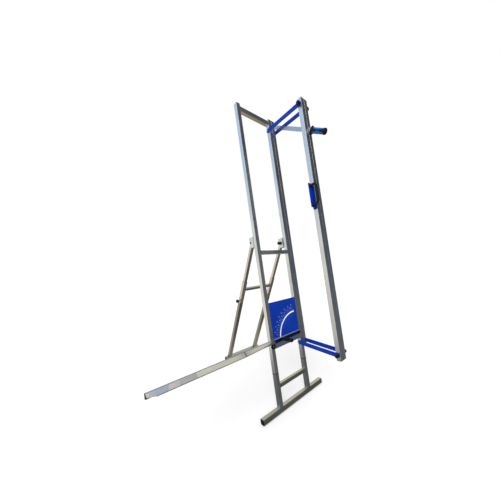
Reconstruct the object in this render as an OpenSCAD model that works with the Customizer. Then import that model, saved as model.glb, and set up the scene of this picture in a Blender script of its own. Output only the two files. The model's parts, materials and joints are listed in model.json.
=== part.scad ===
// Cutting stand for insulation boards, with a hand saw guided in two slotted beams.
// A leaning frame of aluminium tubes carries a swinging bow that holds the front slot,
// a board rail that tilts on a protractor plate, a plug-in foot and a folding rear prop.
// Most pieces are drawn in the leaned frame: x to the right, y away from the viewer
// from the front plane of the uprights, z up along the uprights from the foot.

/* [Frame] */
// Lean of the uprights away from the viewer, degrees
lean = 17.4; // [14:0.1:20]
// Width of an upright tube, left to right
tube_w = 30; // [26:1:36]
// Depth of an upright tube, front to back
tube_d = 35; // [30:1:40]
// Wall of the tubes
tube_wall = 2; // [1.5:0.1:2.5]
// Outer corner radius of the tubes
tube_r = 2; // [1:0.1:3]
// Clear distance between the two uprights
upright_gap = 258; // [230:1:290]
// Top of the uprights, measured along them
upright_top = 2222; // [2100:1:2300]
// Saw slot between the twin tubes
saw_slot = 3; // [2.4:0.1:4]
// Thickness of the plates that close the tube ends
end_plate_t = 3; // [2:0.5:5]
// Drop of the crossbar below the top of the uprights
crossbar_drop = 15; // [8:1:40]
// Underside of the middle rung, along the uprights
middle_rung_s = 1111; // [1000:1:1160]
// Height and depth of the rungs
rung = 28; // [24:1:30]
// Underside of the beam that carries the protractor plate
beam_s = 433; // [425:1:450]

/* [Foot stand] */
// Joint between the stand and the uprights
seam_s = 270; // [250:1:290]
// Gap left at the joint
seam_gap = 1; // [0.3:0.1:1.5]
// Length of the spigots that plug into the uprights
spigot_len = 110; // [80:1:120]
// Play of a sliding tube in its socket, each side
slide_play = 0.3; // [0.2:0.05:0.5]
// Length of the front foot bar
foot_len = 600; // [520:1:700]
// Side of the square front foot bar
foot_side = 35; // [30:1:40]
// Underside of the stand's rung
stand_rung_s = 163; // [120:1:200]
// Thickness of the heads of the tube plugs
plug_t = 3; // [2:0.5:5]
// Length of a plug's body in its tube
plug_len = 14; // [10:1:20]
// Lower end of the spigots above the foot bar
spigot_low = 20; // [10:1:40]

/* [Rear prop] */
// Lean of the prop towards the viewer, degrees
prop_angle = 17.1; // [14:0.1:20]
// Hinge of the prop, along the uprights
prop_s = 1208; // [1150:1:1260]
// Hinge of the prop, behind the front plane
prop_d = 68; // [64:1:76]
// Side of the prop's square legs
prop_tube = 25; // [22:1:26]
// Wall of the sleeve around the lower legs
sleeve_wall = 2.2; // [1.8:0.1:3]
// Top of the sleeves, below the hinge
sleeve_from = 328; // [300:1:360]
// Length of the sleeves
sleeve_len = 200; // [190:1:220]
// Upper leg held in the top of the sleeve
sleeve_grip = 30; // [20:1:40]
// Centre of the prop's rung, below the hinge
prop_rung_at = 404; // [385:1:425]
// Height and depth of the prop's rung
prop_rung = 22; // [18:1:24]
// Shift of the right leg towards the middle
prop_inset = 6; // [0:0.5:6]
// Side of the square rear foot bar
rear_side = 30; // [26:1:34]
// Rear foot bar beyond each leg
rear_overhang = 25; // [15:1:60]
// Thickness of the hinge bracket's sheet
bracket_t = 4; // [3:0.5:5]
// Height of the hinge bracket
bracket_h = 76; // [72:1:90]
// Play of the leg between the bracket's cheeks, each side
cheek_play = 0.5; // [0.3:0.1:1]

/* [Protractor plate] */
// Height of the plate above the beam
plate_h = 291; // [260:1:320]
// Thickness of the plate
plate_t = 3; // [2:0.5:4]
// Gap between the plate and the uprights
plate_gap = 0.4; // [0.3:0.1:1]
// Pivot of the rail, left of the right upright
pivot_in = 30; // [28:1:40]
// Radius of the arc slot's middle
arc_r = 163; // [150:1:170]
// Width of the arc slot
arc_w = 10; // [9:0.5:12]
// Side of the clips that hold the plate
clip = 20; // [16:1:24]
// Thickness of the clips
clip_t = 2.5; // [2:0.5:3]

/* [Board rail] */
// Length of the rail bar to the left of its pivot
rail_reach = 977; // [900:1:1050]
// Height of the rail bar
rail_h = 25; // [22:1:30]
// Thickness of the rail bar
rail_t = 12; // [10:0.5:14]
// Gap between the rail bar and the front plane
rail_gap = 2; // [1:0.5:3]
// Underside of the rail bar above the beam
rail_rise = 9; // [6:0.5:12]
// Depth of the ledge in front of the rail bar
ledge_depth = 72; // [60:1:80]
// Depth of the ledge where its right end begins to slope
ledge_neck = 50; // [40:1:58]
// Thickness of the ledge
ledge_t = 4; // [3:0.5:5]
// Length of the outer ledge
outer_len = 503; // [450:1:540]
// Width of the strip that joins the two ledges
joint_w = 10; // [6:1:16]
// How far that strip slants outwards on its way to the ledge's front edge
joint_slant = 26; // [0:1:40]
// Length of the corner cut at the rail's left end
ledge_cut_x = 34; // [20:1:50]
// Depth of that corner cut
ledge_cut_d = 30; // [20:1:40]
// Start of the ledge's sloping right end, left of the left upright
neck_out = 65; // [40:1:90]
// End of that slope, right of the left upright's outer face
neck_in = 25; // [10:1:40]
// Thickness of the ruler tape
ruler_t = 0.5; // [0.3:0.1:1]
// Radius of the rubber stop below the rail
bumper_r = 19; // [14:0.5:20]
// Thickness of the rubber stop
bumper_t = 8; // [6:0.5:10]
// Gap between the stop and the rail
stop_gap = 0.5; // [0.3:0.1:1]

/* [Rail clamp] */
// Length of the clamp's grip
grip_len = 105; // [70:1:115]
// Radius of the clamp's grip
grip_r = 14; // [11:0.5:16]
// Depth of the stud in the grip
stud_in = 25; // [18:1:40]
// Side of the slider behind the plate
slider = 18; // [14:1:20]
// Thickness of the slider
slider_t = 6; // [5:0.5:8]

/* [Bow] */
// Length of an arm between its pins
arm_len = 355; // [320:1:380]
// Slope of the arms below the square position, degrees
arm_sag = 6.4; // [0:0.1:12]
// Width of the arms
arm_w = 30; // [24:1:32]
// Thickness of the arms
arm_t = 5; // [4:0.5:6]
// Gap between the arms and the beams
arm_gap = 0.5; // [0.3:0.1:1]
// Upper pins below the top of the uprights
top_pin_drop = 87; // [75:1:110]
// Lower pins, along the uprights
low_pin_s = 396.5; // [390:0.5:405]
// Front beam beyond its pins
bow_end = 37; // [30:1:45]
// Radius of the pins
pin_r = 4; // [3:0.5:5]
// Radial play of a pin that turns
pin_play = 0.05; // [0.02:0.01:0.1]
// Radial play at the lower ends of the lower arms
open_play = 0.3; // [0.2:0.05:0.5]
// Radius of the clamp knobs
knob_r = 15; // [12:0.5:17]
// Length of the clamp knobs
knob_len = 19; // [14:0.5:22]
// Upper screw in the front beam, below the top of the uprights
screw_high_drop = 477; // [440:1:520]
// Lower screw in the front beam, below the top of the uprights
screw_low_drop = 582; // [540:1:620]

/* [Pull handle] */
// Lower end of the handle bracket's flange, along the uprights
handle_s = 1362; // [1250:1:1450]
// Height of that flange
handle_h = 165; // [155:1:190]
// Width of that flange
handle_w = 40; // [34:1:50]
// Thickness of the bracket's sheet
handle_sheet = 4; // [3:0.5:5]
// Side plate below the flange
handle_tab = 11; // [10:1:24]
// Distance between the handle's feet
handle_span = 132; // [120:1:140]
// Reach of the grip's middle from the flange
handle_reach = 46; // [40:1:60]
// Radius of the grip
handle_r = 8; // [7:0.5:10]
// Radius of the grip's bends
handle_bend = 18; // [14:1:22]

/* [Saw] */
// Where the blade enters the front slot, below the top of the uprights
saw_drop = 313; // [280:1:420]
// Rise of the blade towards its tip, degrees
saw_tilt = 36.3; // [30:0.1:38]
// Blade beyond the length that reaches the rear slot's middle
blade_over = 12; // [0:1:17]
// Height of the blade
blade_h = 31; // [26:0.5:34]
// Thickness of the blade
blade_t = 1.2; // [0.8:0.1:1.6]
// Pitch of the teeth
tooth_pitch = 9; // [6:0.5:12]
// Depth of the teeth
tooth_h = 5; // [3:0.5:6]
// Length of the blade's sloping tip
tip_len = 50; // [35:1:60]
// Length of the tang in the handle
tang_len = 30; // [20:1:50]
// Step from the blade's edges to its tang
tang_step = 8; // [6.5:0.5:10]
// Length of the saw's handle
saw_handle_len = 128; // [110:1:140]
// Height of the saw's handle
saw_handle_h = 38; // [34:1:44]
// Thickness of the saw's handle
saw_handle_t = 24; // [20:1:28]
// Height of the guard
guard_h = 56; // [50:1:64]
// Thickness of the guard along the blade
guard_t = 13; // [10:1:16]
// Gap between the guard and the front beam
guard_gap = 4; // [3:0.5:8]
// Thickness of the rubber cheeks of the saw's handle
saw_grip_t = 4; // [3:0.5:6]

/* [Hidden] */
$fn = 64;
// Left faces of the right upright and of the guide cheek, right face of the twin tubes
right_x = tube_w + upright_gap;
cheek_x = right_x + tube_w + saw_slot;
twin_w = 2 * tube_w + saw_slot;
twin_end = right_x + twin_w;
slot_x = right_x + tube_w + saw_slot / 2;
// Heights along the uprights
crossbar_s = upright_top - crossbar_drop - tube_d;
beam_top = beam_s + tube_d;
plate_top = beam_top + plate_h;
rail_s = beam_top + rail_rise;
rail_top = rail_s + rail_h;
pivot_s = rail_s + rail_h / 2;
pivot_x = right_x - pivot_in;
rail_left = pivot_x - rail_reach;
rail_front = -rail_gap - rail_t;
ledge_front = rail_front - ledge_depth;
seam_x = rail_left + outer_len;
bumper_x = tube_w / 2;
bumper_s = rail_s - stop_gap - bumper_r;
clamp_x = pivot_x - arc_r;
// Bow pins: pin_d is the middle of the tubes' depth
pin_d = tube_d / 2;
top_pin_s = upright_top - top_pin_drop;
bow_pin_d = pin_d - arm_len * cos(arm_sag);
bow_drop = arm_len * sin(arm_sag);
bow_front = bow_pin_d - tube_d / 2;
bow_back = bow_pin_d + tube_d / 2;
bow_s = low_pin_s - bow_drop - bow_end;
bow_top = top_pin_s - bow_drop + bow_end;
near_arm_x = right_x - arm_gap - arm_t;
far_arm_x = twin_end + arm_gap;
cheek_s = low_pin_s - arm_w;
bow_pins = [low_pin_s - bow_drop, top_pin_s - bow_drop];
// Fasteners, with low heads where something passes close by
boss_r = 2 * pin_r;
boss_len = 8;
head_r = 1.6 * pin_r;
head_t = 5;
low_head_t = 1.5;
flat_head_t = 1;
bolt_out = 2;
washer_r = 2.2 * pin_r;
washer_t = 1.2;
screw_r = 2.5;
screw_head_r = 4.5;
screw_head_t = 2;
screw_out = 2;
bow_stud = 2 * arm_gap + arm_t + tube_wall + boss_len;
near_face = near_arm_x - arm_gap;
far_face = far_arm_x + arm_t + arm_gap;
front_screw_x = cheek_x + tube_w / 2;
front_screw_s = [upright_top - screw_low_drop, upright_top - screw_high_drop];
// Screws of the handle bracket, as depth and height: one in its tab, one behind its flange
tab_screws = [[bow_pin_d, handle_s - handle_tab / 2],
    [bow_pin_d + tube_d / 4, handle_s + handle_h - handle_tab]];
// Knobs: foot, flutes and edge
knob_foot = 0.7 * knob_r;
knob_edge = 2;
flutes = 6;
flute_r = 0.36 * knob_r;
flute_at = 1.22 * knob_r;
// Overlap of a cutting shape beyond the face it cuts
over = 1;
// Protractor plate: clips at its corners, as x, height and the way off the upright
clip_edge = 8;
clip_places = [for (s = [beam_top + clip_edge, plate_top - clip - clip_edge])
    each [[tube_w, s, 1], [right_x, s, -1]]];
slider_d = plate_t + arm_gap;
// Rear prop: distances down the leg from the hinge
sleeve_side = prop_tube + 2 * slide_play + 2 * sleeve_wall;
sleeve_to = sleeve_from + sleeve_len;
leg_end = sleeve_from + sleeve_grip;
sleeve_edge = 16;
prop_knob_at = sleeve_to - sleeve_edge;
left_leg_x = tube_w / 2;
right_leg_x = right_x + tube_w / 2 - prop_inset;
opening = lean + prop_angle;
bracket_back = tube_d + bracket_t;
// The top of each leg meets the bracket's base at the full opening
leg_top = (prop_d - bracket_back - stop_gap - prop_tube / 2 * cos(opening)) / sin(opening);
bracket_in = prop_tube + 2 * cheek_play;
bracket_w = bracket_in + 2 * bracket_t;
bracket_edge = 4;
bracket_deep = prop_d + prop_tube / 2 + bracket_edge;
rear_left = left_leg_x - prop_tube / 2 - rear_overhang;
rear_right = right_leg_x + prop_tube / 2 + rear_overhang;
// Row origin: below the middle of the object's box, on the floor
lift = foot_side * sin(lean);
hinge_y = prop_s * sin(lean) + prop_d * cos(lean);
hinge_z = prop_s * cos(lean) - prop_d * sin(lean) + lift;
rear_corner = rear_side / 2 * (cos(prop_angle) + sin(prop_angle));
rear_mid = (hinge_z - rear_corner) / cos(prop_angle);
foot_mid_x = (right_x + tube_w) / 2;
box_left = rail_left - plug_t;
box_right = foot_mid_x + foot_len / 2 + plug_t;
box_front = (bow_s - end_plate_t) * sin(lean) + bow_front * cos(lean);
box_back = hinge_y + rear_mid * sin(prop_angle) + rear_corner;
shift = [-(box_left + box_right) / 2, -(box_front + box_back) / 2, lift];
// Saw: the guard's lower end clears the front beam
saw_s = upright_top - saw_drop;
guard_y = -(guard_h / 2 * sin(saw_tilt) + guard_gap) / cos(saw_tilt);
blade_root = guard_y - guard_t;
butt = blade_root - saw_handle_len;
blade_len = arm_len * cos(arm_sag) / cos(saw_tilt) + blade_over;
tooth_count = floor((blade_len - tip_len) / tooth_pitch);
// Colours
alu = [0.74, 0.76, 0.78];
blue = [0.07, 0.24, 0.70];
black = [0.08, 0.08, 0.09];
steel = [0.80, 0.81, 0.83];
grey = [0.30, 0.32, 0.36];
cream = [0.84, 0.82, 0.74];

// Places

// From the leaned frame into the row's frame
module leaned() {
    translate(shift) rotate([-lean, 0, 0]) children();
}

// From a leg's own frame, with z up the leg and the hinge at the origin
module propped(leg_x) {
    leaned() translate([leg_x, prop_d, prop_s]) rotate([opening, 0, 0]) children();
}

// From the saw's own frame, with y towards the tip and z away from the teeth
module sawing() {
    leaned() translate([slot_x, bow_front, saw_s]) rotate([saw_tilt, 0, 0]) children();
}

// Shapes that repeat

// A rectangle from the origin with round corners
module round_rect(w, d, r) {
    translate([r, 0]) square([w - 2 * r, d]);
    translate([0, r]) square([w, d - 2 * r]);
    for (x = [r, w - r], y = [r, d - r]) translate([x, y]) circle(r);
}

// A hollow tube from the origin, standing along z
module tube(w, d, h, wall) {
    linear_extrude(h) difference() {
        round_rect(w, d, tube_r);
        translate([wall, wall]) square([w - 2 * wall, d - 2 * wall]);
    }
}

// A hollow rung between the uprights, lying along x with its front on the front plane
module rung_tube(s, deep, high) {
    leaned() translate([tube_w, 0, s + high]) rotate([0, 90, 0])
        tube(high, deep, upright_gap, tube_wall);
}

// An outline in y and z, thickened along +x
module slab_x(t) {
    rotate([90, 0, 90]) linear_extrude(t) children();
}

// An outline in x and z, thickened along +y
module slab_y(t) {
    translate([0, t, 0]) rotate([90, 0, 0]) linear_extrude(t) children();
}

// A cylinder along x from the origin
module rod_x(r, len) {
    rotate([0, 90, 0]) cylinder(r = r, h = len);
}

// A cylinder along y from the origin
module rod_y(r, len) {
    rotate([-90, 0, 0]) cylinder(r = r, h = len);
}

// A tube of the twin beams with bosses for the arm pins on one side wall;
// play is the play of the pins in the bosses
module pinned_tube(x, front, s_from, s_to, pins, on_left, play) {
    boss_x = on_left ? x + tube_wall : x + tube_w - tube_wall - boss_len;
    bore_x = on_left ? x - over : boss_x - over;
    difference() {
        union() {
            translate([x, front, s_from]) tube(tube_w, tube_d, s_to - s_from, tube_wall);
            for (s = pins) translate([boss_x, front + tube_d / 2, s]) rod_x(boss_r, boss_len);
        }
        for (s = pins) translate([bore_x, front + tube_d / 2, s])
            rod_x(pin_r + play, boss_len + tube_wall + 2 * over);
    }
}

// A flat arm with round ends; end_play is the play of its hole at the front beam
module arm(x, s, end_play) {
    leaned() translate([x, pin_d, s]) rotate([arm_sag, 0, 0]) slab_x(arm_t) difference() {
        union() {
            translate([-arm_len, -arm_w / 2]) square([arm_len, arm_w]);
            circle(arm_w / 2);
            translate([-arm_len, 0]) circle(arm_w / 2);
        }
        circle(pin_r + pin_play);
        translate([-arm_len, 0]) circle(pin_r + end_play);
    }
}

// A fluted knob along +z with its foot on the origin
module knob_head() {
    difference() {
        rotate_extrude() polygon([[0, 0], [knob_foot, 0], [knob_foot, knob_edge],
            [knob_r, 2 * knob_edge], [knob_r, knob_len - knob_edge],
            [knob_r - knob_edge, knob_len], [0, knob_len]]);
        for (i = [1 : flutes]) rotate(i * 360 / flutes) translate([flute_at, 0, -over])
            cylinder(r = flute_r, h = knob_len + 2 * over);
    }
}

// A knob at a bow pin: side is -1 on the left of the bow and 1 on the right
module bow_knob(s, side) {
    face = side < 0 ? near_face : far_face;
    color(black) leaned() translate([face, bow_pin_d, s]) rotate([0, 90 * side, 0]) {
        knob_head();
        translate([0, 0, -bow_stud]) cylinder(r = pin_r, h = bow_stud + over);
    }
}

// A clamp knob on the left face of a sleeve
module prop_knob(leg_x) {
    face = -sleeve_side / 2 - boss_len;
    stud = boss_len + sleeve_wall;
    color(black) propped(leg_x) translate([face, 0, -prop_knob_at]) rotate([0, -90, 0]) {
        translate([0, 0, arm_gap]) knob_head();
        translate([0, 0, -stud]) cylinder(r = pin_r - pin_play, h = stud + arm_gap + over);
    }
}

// Frame

module left_upright() {
    color(alu) leaned() difference() {
        translate([0, 0, seam_s]) tube(tube_w, tube_d, upright_top - seam_s, tube_wall);
        translate([bumper_x, -over, bumper_s]) rod_y(screw_r, tube_wall + 2 * over);
    }
}

module right_upright() {
    color(alu) leaned()
        pinned_tube(right_x, 0, seam_s, upright_top, [low_pin_s, top_pin_s], true, 0);
}

module guide_cheek() {
    color(alu) leaned()
        pinned_tube(cheek_x, 0, cheek_s, upright_top, [low_pin_s, top_pin_s], false, 0);
}

module top_crossbar() {
    color(alu) rung_tube(crossbar_s, tube_w, tube_d);
}

module middle_rung() {
    color(alu) rung_tube(middle_rung_s, rung, rung);
}

module lower_beam() {
    color(alu) rung_tube(beam_s, tube_w, tube_d);
}

// The right plate spans the twin tubes and closes the top of the saw slot
module upright_end_plates() {
    color(alu) leaned() translate([0, 0, upright_top]) linear_extrude(end_plate_t) {
        round_rect(tube_w, tube_d, tube_r);
        translate([right_x, 0]) round_rect(twin_w, tube_d, tube_r);
    }
}

module cheek_spacer() {
    inset = 6;
    edge = 2;
    color(alu) leaned() translate([right_x + tube_w, inset, cheek_s + edge])
        cube([saw_slot, tube_d - 2 * inset, arm_w - 2 * edge]);
}

// Protractor plate

module plate_holes() {
    for (p = clip_places) translate([p[0] + p[2] * clip / 2, p[1] + clip / 2]) circle(screw_r);
}

module protractor_plate() {
    color(blue) leaned() slab_y(plate_t) difference() {
        translate([tube_w + plate_gap, beam_top])
            square([upright_gap - 2 * plate_gap, plate_h]);
        plate_holes();
        translate([pivot_x, pivot_s]) {
            circle(pin_r);
            intersection() {
                difference() {
                    circle(arc_r + arc_w / 2);
                    circle(arc_r - arc_w / 2);
                }
                translate([-2 * arc_r, 0]) square(2 * arc_r);
            }
            translate([-arc_r, 0]) circle(arc_w / 2);
            translate([0, arc_r]) circle(arc_w / 2);
        }
    }
}

module plate_clips() {
    color(alu) leaned() difference() {
        for (p = clip_places) translate([p[2] > 0 ? p[0] : p[0] - clip, plate_t, p[1]]) {
            cube([clip, clip_t, clip]);
            translate([p[2] > 0 ? 0 : clip - clip_t, 0, 0]) cube([clip_t, clip, clip]);
        }
        translate([0, plate_t - over, 0]) slab_y(clip_t + 2 * over) plate_holes();
    }
}

module plate_screws() {
    color(steel) leaned() for (p = clip_places)
        translate([p[0] + p[2] * clip / 2, 0, p[1] + clip / 2]) {
            rod_y(screw_r, plate_t + clip_t + screw_out);
            translate([0, -flat_head_t, 0]) rod_y(screw_head_r, flat_head_t);
        }
}

module rail_bumper() {
    color(black) leaned() translate([bumper_x, -bumper_t, bumper_s]) difference() {
        rod_y(bumper_r, bumper_t);
        translate([0, -over, 0]) rod_y(screw_r, bumper_t + 2 * over);
    }
}

module bumper_screw() {
    color(steel) leaned() translate([bumper_x, -bumper_t, bumper_s]) {
        rod_y(screw_r, bumper_t + tube_wall + screw_out);
        translate([0, -screw_head_t, 0]) rod_y(screw_head_r, screw_head_t);
    }
}

module rail_pivot_bolt() {
    color(steel) leaned() translate([pivot_x, rail_front - stop_gap, pivot_s]) {
        rod_y(pin_r, stop_gap - rail_front + plate_t + head_t + bolt_out);
        translate([0, -head_t, 0]) rod_y(head_r, head_t);
        translate([0, stop_gap - rail_front + plate_t, 0]) rod_y(head_r, head_t);
    }
}

// Hinge brackets on the backs of the uprights, open to the back
module prop_brackets() {
    color(alu) leaned() for (leg_x = [left_leg_x, right_leg_x])
        translate([leg_x - bracket_w / 2, tube_d, prop_s - bracket_h / 2]) difference() {
            cube([bracket_w, bracket_deep - tube_d, bracket_h]);
            translate([bracket_t, bracket_t, -over])
                cube([bracket_in, bracket_deep, bracket_h + 2 * over]);
            translate([-over, prop_d - tube_d, bracket_h / 2])
                rod_x(pin_r + pin_play, bracket_w + 2 * over);
        }
}

// A clamp knob with the bolt that carries a leg; side is 1 where the knob is on the right.
// The bolt's other end stays low, clear of the blade's plane
module hinge_knob(leg_x, side) {
    half = bracket_w / 2 + arm_gap;
    color(black) leaned() translate([leg_x, prop_d, prop_s]) rotate([0, 90 * side, 0]) {
        translate([0, 0, half]) knob_head();
        translate([0, 0, -half]) cylinder(r = pin_r, h = 2 * half + over);
        translate([0, 0, -half - low_head_t]) cylinder(r = head_r, h = low_head_t);
    }
}

module left_hinge_knob() {
    hinge_knob(left_leg_x, 1);
}

module right_hinge_knob() {
    hinge_knob(right_leg_x, -1);
}

// Bolts with washers that carry the arms on the right upright and its cheek
module bow_pivot_bolts() {
    color(steel) leaned() for (s = [low_pin_s, top_pin_s]) {
        translate([near_face, pin_d, s]) {
            rod_x(pin_r, bow_stud);
            translate([-washer_t, 0, 0]) rod_x(washer_r, washer_t);
            translate([-washer_t - head_t, 0, 0]) rotate([0, 90, 0])
                cylinder(r = head_r, h = head_t, $fn = 6);
        }
        translate([far_face - bow_stud, pin_d, s]) {
            rod_x(pin_r, bow_stud);
            translate([bow_stud, 0, 0]) rod_x(washer_r, washer_t);
            translate([bow_stud + washer_t, 0, 0]) rotate([0, 90, 0])
                cylinder(r = head_r, h = head_t, $fn = 6);
        }
    }
}

// Foot stand

// A leg of the stand with the spigot that plugs into an upright; a ring holds the spigot
module stand_leg(x) {
    inset = tube_wall + slide_play;
    spigot_w = tube_w - 2 * inset;
    spigot_d = tube_d - 2 * inset;
    spigot_s = foot_side + spigot_low;
    leg_top_s = seam_s - seam_gap;
    ring_h = 4;
    color(alu) leaned() {
        translate([x, 0, foot_side]) tube(tube_w, tube_d, leg_top_s - foot_side, tube_wall);
        translate([x + inset, inset, spigot_s]) linear_extrude(seam_s + spigot_len - spigot_s)
            difference() {
                square([spigot_w, spigot_d]);
                translate([tube_wall, tube_wall])
                    square([spigot_w - 2 * tube_wall, spigot_d - 2 * tube_wall]);
            }
        translate([x + tube_wall, tube_wall, leg_top_s - ring_h]) linear_extrude(ring_h) difference() {
            square([tube_w - 2 * tube_wall, tube_d - 2 * tube_wall]);
            translate([tube_wall, tube_wall])
                square([tube_w - 4 * tube_wall, tube_d - 4 * tube_wall]);
        }
    }
}

module left_stand_leg() {
    stand_leg(0);
}

module right_stand_leg() {
    stand_leg(right_x);
}

module stand_rung() {
    color(alu) rung_tube(stand_rung_s, rung, rung);
}

module front_foot_bar() {
    color(alu) leaned() translate([foot_mid_x - foot_len / 2, 0, foot_side]) rotate([0, 90, 0])
        tube(foot_side, foot_side, foot_len, tube_wall);
}

// A tube plug along +x: its head on the origin's left, its body in the tube
module tube_plug(side) {
    body = side - 2 * tube_wall;
    translate([-plug_t, 0, 0]) cube([plug_t, side, side]);
    translate([0, tube_wall, tube_wall]) cube([plug_len, body, body]);
}

module front_foot_plugs() {
    color(black) leaned() for (side = [-1, 1])
        translate([foot_mid_x + side * foot_len / 2, 0, 0])
            mirror([side > 0 ? 1 : 0, 0, 0]) tube_plug(foot_side);
}

// Rear prop

// An upper leg, hung on the hinge bolt
module prop_leg(leg_x) {
    half = prop_tube / 2;
    color(alu) propped(leg_x) difference() {
        translate([-half, -half, -leg_end])
            tube(prop_tube, prop_tube, leg_end + leg_top, tube_wall);
        translate([-half - over, 0, 0]) rod_x(pin_r + pin_play, prop_tube + 2 * over);
    }
}

module left_prop_leg() {
    prop_leg(left_leg_x);
}

module right_prop_leg() {
    prop_leg(right_leg_x);
}

// A sleeve with a collar that grips the upper leg and a boss for the clamp knob
module prop_sleeve(leg_x) {
    half = sleeve_side / 2;
    collar = sleeve_side - 2 * over;
    color(alu) propped(leg_x) difference() {
        union() {
            translate([-half, -half, -sleeve_to])
                tube(sleeve_side, sleeve_side, sleeve_len, sleeve_wall);
            translate([-half - boss_len, 0, -prop_knob_at]) rod_x(boss_r, boss_len + over);
            translate([-collar / 2, -collar / 2, -leg_end]) cube([collar, collar, sleeve_grip - over]);
        }
        translate([-prop_tube / 2, -prop_tube / 2, -leg_end - over])
            cube([prop_tube, prop_tube, sleeve_grip + 2 * over]);
        translate([-half - boss_len - over, 0, -prop_knob_at])
            rod_x(pin_r, boss_len + sleeve_wall + 2 * over);
    }
}

module left_prop_sleeve() {
    prop_sleeve(left_leg_x);
}

module right_prop_sleeve() {
    prop_sleeve(right_leg_x);
}

module prop_rung_tube() {
    span = right_leg_x - left_leg_x - sleeve_side;
    color(alu) propped(left_leg_x + sleeve_side / 2)
        translate([0, -prop_rung / 2, prop_rung / 2 - prop_rung_at]) rotate([0, 90, 0])
            tube(prop_rung, prop_rung, span, tube_wall);
}

module left_prop_knob() {
    prop_knob(left_leg_x);
}

module right_prop_knob() {
    prop_knob(right_leg_x);
}

// A lower leg in line with the sleeve; a ring in its top holds the spigot that slides in the sleeve
module foot_leg(leg_x) {
    ring = 30;
    half = sleeve_side / 2;
    collar = sleeve_side - 2 * over;
    bore = prop_tube - 2 * tube_wall;
    top = leg_end + seam_gap;
    step = sleeve_to + seam_gap;
    ring_end = step + ring;
    bottom = rear_mid - rear_side / 2;
    color(alu) propped(leg_x) difference() {
        union() {
            translate([-half, -half, -bottom])
                tube(sleeve_side, sleeve_side, bottom - step, tube_wall);
            translate([-collar / 2, -collar / 2, -ring_end]) cube([collar, collar, ring - over]);
            translate([-prop_tube / 2, -prop_tube / 2, -ring_end])
                cube([prop_tube, prop_tube, ring_end - top]);
        }
        translate([-bore / 2, -bore / 2, -ring_end - over])
            cube([bore, bore, ring_end - top + 2 * over]);
    }
}

module left_foot_leg() {
    foot_leg(left_leg_x);
}

module right_foot_leg() {
    foot_leg(right_leg_x);
}

module rear_foot_bar() {
    color(alu) propped(rear_left) translate([0, -rear_side / 2, rear_side / 2 - rear_mid])
        rotate([0, 90, 0]) tube(rear_side, rear_side, rear_right - rear_left, tube_wall);
}

module rear_foot_plugs() {
    corner = [0, -rear_side / 2, -rear_mid - rear_side / 2];
    color(black) {
        propped(rear_left) translate(corner) tube_plug(rear_side);
        propped(rear_right) translate(corner) mirror([1, 0, 0]) tube_plug(rear_side);
    }
}

// Board rail

module rail_bar() {
    color(grey) leaned() difference() {
        translate([rail_left, rail_front, rail_s]) cube([rail_reach + rail_h, rail_t, rail_h]);
        for (x = [pivot_x, clamp_x]) translate([x, rail_front - over, pivot_s])
            rod_y(pin_r + pin_play, rail_t + 2 * over);
    }
}

// An angle: the plate that boards stand on, and a flange on the rail bar
module ledge(outline, from, to) {
    color(cream) leaned() {
        translate([0, 0, rail_top - ledge_t]) linear_extrude(ledge_t) polygon(outline);
        translate([from, rail_front - ledge_t, rail_s]) cube([to - from, ledge_t, rail_h]);
    }
}

module outer_ledge() {
    right = seam_x - joint_w / 2;
    ledge([[rail_left, rail_front], [rail_left, ledge_front + ledge_cut_d],
        [rail_left + ledge_cut_x, ledge_front], [right - joint_slant, ledge_front],
        [right, rail_front - ledge_t], [right, rail_front]], rail_left, right);
}

module inner_ledge() {
    left = seam_x + joint_w / 2;
    ledge([[left, rail_front], [left, rail_front - ledge_t], [left - joint_slant, ledge_front],
        [-neck_out, rail_front - ledge_neck], [neck_in, rail_front - ledge_t],
        [neck_in, rail_front]], left, neck_in);
}

module ledge_joint_strip() {
    sunk = 1;
    left = seam_x - joint_w / 2;
    right = seam_x + joint_w / 2;
    color(grey) leaned() translate([0, 0, rail_top - ledge_t]) linear_extrude(ledge_t - sunk)
        polygon([[left, rail_front], [left, rail_front - ledge_t],
            [left - joint_slant, ledge_front], [right - joint_slant, ledge_front],
            [right, rail_front - ledge_t], [right, rail_front]]);
}

module ruler_strip() {
    edge = 1;
    color(cream) leaned() translate([rail_left, rail_front + edge, rail_top])
        cube([neck_in - rail_left, rail_t - 2 * edge, ruler_t]);
}

module rail_end_cap() {
    color(black) leaned() translate([rail_left - plug_t, 0, 0]) {
        translate([0, rail_front, rail_s]) cube([plug_t, rail_t, rail_h]);
        translate([0, ledge_front + ledge_cut_d, rail_top - ledge_t])
            cube([plug_t, ledge_depth - ledge_cut_d, ledge_t]);
    }
}

// Rail clamp: the stud runs through the bar and the arc slot into a slider behind the plate

module clamp_slider() {
    color(steel) leaned() translate([clamp_x, slider_d, pivot_s]) difference() {
        translate([-slider / 2, 0, -slider / 2]) cube([slider, slider_t, slider]);
        translate([0, -over, 0]) rod_y(pin_r + pin_play, slider_t + 2 * over);
    }
}

module clamp_grip() {
    edge = 4;
    foot = 0.7 * grip_r;
    color(black) leaned() translate([clamp_x, rail_front - arm_gap, pivot_s]) rotate([90, 0, 0])
        difference() {
            rotate_extrude() polygon([[0, 0], [foot, 0], [grip_r, 2 * edge],
                [grip_r, grip_len - edge], [grip_r - edge / 3, grip_len - edge / 3],
                [grip_r - edge, grip_len], [0, grip_len]]);
            translate([0, 0, -over]) cylinder(r = pin_r, h = stud_in + over);
        }
}

module clamp_stud() {
    color(steel) leaned() translate([clamp_x, rail_front - arm_gap - stud_in, pivot_s])
        rod_y(pin_r, stud_in + arm_gap - rail_front + slider_d + slider_t + bolt_out);
}

// Bow

module upper_left_arm() {
    color(blue) arm(near_arm_x, top_pin_s, pin_play);
}

module upper_right_arm() {
    color(blue) arm(far_arm_x, top_pin_s, pin_play);
}

module lower_left_arm() {
    color(blue) arm(near_arm_x, low_pin_s, open_play);
}

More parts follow.
